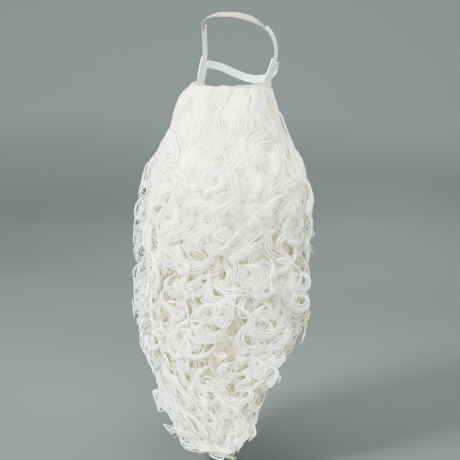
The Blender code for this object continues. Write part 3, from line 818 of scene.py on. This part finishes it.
strand_mesh("hair_side_edges", edge_waves + edge_curls, strand_white)
strand_mesh("hair_inner_side", rows_of_locks(INNER_WAVES, WAVE_COLUMNS, chance), strand_white)
strays = rows_of_locks(STRAY_CURLS, CURL_COLUMNS, chance, edges=True)
strand_mesh("hair_strays", strays, strand_white)

# %% [markdown]
# ## The mass under the locks
# Under the locks the hair is packed too thick to see through. One closed body fills that
# depth. It narrows towards the lower end. Its front is painted dark cream as shade under the
# locks, and behind it is lighter, with less painted shade.

# %% Packed hair
MASS_POINTS = 72
MASS_LEVELS = 110
MASS_SHORT = 0.035
MASS_TIP = 0.35
MASS_TAPER = 0.14
MASS_ACROSS = 0.84
MASS_FRONT = 0.2
MASS_BACK = 0.9
FRONT_PAINTED_SHADE = 0.05
BACK_PAINTED_SHADE = 0.6


def rounded(value, power):
    """A cosine or sine made squarer by a power below 1."""
    return np.sign(value) * np.abs(value) ** power


def hair_mass():
    """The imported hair, from rings of points between the front and the wearer's side."""
    heights = np.linspace(HAIR_TABLE[-1, 0], HAIR_TABLE[0, 0] + MASS_SHORT, MASS_LEVELS)
    narrowing = MASS_TIP + (1 - MASS_TIP) * ease((heights - heights[-1]) / MASS_TAPER)
    turn = 2 * math.pi * np.arange(MASS_POINTS) / MASS_POINTS
    across = rounded(np.cos(turn), 0.8) * MASS_ACROSS
    depth = rounded(np.sin(turn), 0.6)
    depth = np.where(depth > 0, depth * MASS_FRONT, depth * MASS_BACK)
    height, across = np.broadcast_arrays(heights[:, None], across * narrowing[:, None])
    points, _ = hair_point(height, across, np.broadcast_to(depth, height.shape))
    mesh = bpy.data.meshes.new("hair_mass")
    shape = bmesh.new()
    rings = [[shape.verts.new(point) for point in row] for row in points]
    for upper, lower in zip(rings, rings[1:]):
        for i in range(MASS_POINTS):
            j = (i + 1) % MASS_POINTS
            shape.faces.new((upper[i], upper[j], lower[j], lower[i]))
    shape.faces.new(rings[0])
    shape.faces.new(rings[-1])
    bmesh.ops.recalc_face_normals(shape, faces=shape.faces)
    shape.to_mesh(mesh)
    shape.free()
    layer = mesh.attributes.new("tone_and_painted_shade", "FLOAT", "POINT")
    # Painted shade: dark cream in front, where the mass lies deep under the locks.
    tone_and_painted_shade = np.where(depth > 0, FRONT_PAINTED_SHADE, BACK_PAINTED_SHADE)
    layer.data.foreach_set("value", np.tile(tone_and_painted_shade, MASS_LEVELS).astype(np.float32))
    hair_piece("hair_mass", mesh, strand_white)


hair_mass()

# %% [markdown]
# ## Floor, backdrop and light
# The beard hangs clear of a plain floor that sweeps up into a backdrop, under large soft
# lights. The paper carries painted light: it gets lighter with the rise of the backdrop and
# with the distance.

# %% Stage
FLOOR_HEIGHT = -0.945
FLOOR_DEPTH = 2.6
FLOOR_FRONT = 6.0
FLOOR_HALF_WIDTH = 8
SWEEP_RADIUS = 2.0
SWEEP_STEPS = 24
BACKDROP_RISE = 6.0
FLOOR_GREY_AND_PAINTED_LIGHT_STOPS = ((0.1, (0.028, 0.034, 0.031)), (0.7, (0.112, 0.136, 0.131)))
GRAIN_TONE = 0.3
FAR_PAINTED_LIGHT = 0.07
WHITE = (1, 1, 1)
LIGHT_TINT = (0.96, 1, 0.97)
# Name, place, the point that it shines at, width in metres, watts and colour.
LIGHTS = (
    ("key", (-1.2, -1.95, 1.3), (0, 0, -0.45), 0.8, 410, LIGHT_TINT),
    ("fill", (1.8, -2.1, 0.1), (0, 0, -0.4), 1.4, 140, LIGHT_TINT),
    ("top", (0.2, -0.2, 1.8), (0, 0, -0.4), 1.2, 90, WHITE),
    ("rear", (-0.6, 2.6, 0.7), (0, 0, -0.45), 1.6, 60, WHITE),
)
SKY_TINT = (0.97, 1.0, 0.98, 1)
SKY_STRENGTH = 1.35


def sweep():
    """Floor and backdrop in one sheet, turned to face the camera."""
    toward = Vector((math.sin(VIEW_AZIMUTH), -math.cos(VIEW_AZIMUTH), 0))
    right = Vector((math.cos(VIEW_AZIMUTH), math.sin(VIEW_AZIMUTH), 0))
    profile = [(FLOOR_FRONT, 0.0), (-FLOOR_DEPTH, 0.0)]
    for i in range(1, SWEEP_STEPS + 1):
        turn = math.pi / 2 * i / SWEEP_STEPS
        out = -FLOOR_DEPTH - SWEEP_RADIUS * math.sin(turn)
        profile.append((out, SWEEP_RADIUS * (1 - math.cos(turn))))
    profile.append((-FLOOR_DEPTH - SWEEP_RADIUS, BACKDROP_RISE))
    mesh = bpy.data.meshes.new("floor")
    shape = bmesh.new()
    rows = []
    for out, rise in profile:
        middle = toward * out + Vector((0, 0, FLOOR_HEIGHT + rise))
        sides = (-FLOOR_HALF_WIDTH, FLOOR_HALF_WIDTH)
        rows.append([shape.verts.new(middle + right * side) for side in sides])
    for near, far in zip(rows, rows[1:]):
        shape.faces.new((near[0], near[1], far[1], far[0]))
    shape.to_mesh(mesh)
    shape.free()
    mesh.shade_smooth()
    mesh.materials.append(floor_paper())
    floor = bpy.data.objects.new("floor", mesh)
    bpy.context.scene.collection.objects.link(floor)


def floor_paper():
    """Grey paper with a faint cloudiness, and painted light that grows with height and distance.
    """
    material, tree, shader = new_material("floor_paper", 0.9)
    where = tree.nodes.new("ShaderNodeTexCoord")
    split = tree.nodes.new("ShaderNodeSeparateXYZ")
    tree.links.new(where.outputs["Object"], split.inputs["Vector"])
    # Painted light: lighter up the backdrop and further from the camera.
    rise = math_node(tree, "SUBTRACT", split.outputs["Z"], FLOOR_HEIGHT)
    grain = node(tree, "ShaderNodeTexNoise", Scale=0.6, Detail=2.0)
    tree.links.new(where.outputs["Object"], grain.inputs["Vector"])
    mixed = math_node(tree, "MULTIPLY_ADD", grain.outputs["Fac"], GRAIN_TONE, rise)
    mixed = math_node(tree, "MULTIPLY_ADD", split.outputs["Y"], FAR_PAINTED_LIGHT, mixed)
    tint = colour_ramp(tree, mixed, *FLOOR_GREY_AND_PAINTED_LIGHT_STOPS)
    tree.links.new(tint, shader.inputs["Base Color"])
    return material


def area_light(name, place, aim, size, power, colour):
    """A round soft light."""
    data = bpy.data.lights.new(name, "AREA")
    data.shape = "DISK"
    data.size = size
    data.energy = power
    data.color = colour
    light = bpy.data.objects.new(name, data)
    light.location = place
    light.rotation_euler = (Vector(aim) - Vector(place)).to_track_quat("-Z", "Y").to_euler()
    bpy.context.scene.collection.objects.link(light)


sweep()
for values in LIGHTS:
    area_light(*values)
world = bpy.data.worlds.new("studio")
world.use_nodes = True
sky = world.node_tree.nodes["Background"]
sky.inputs["Color"].default_value = SKY_TINT
sky.inputs["Strength"].default_value = SKY_STRENGTH
bpy.context.scene.world = world
print("floor at", FLOOR_HEIGHT, "m and lights:", len(LIGHTS))
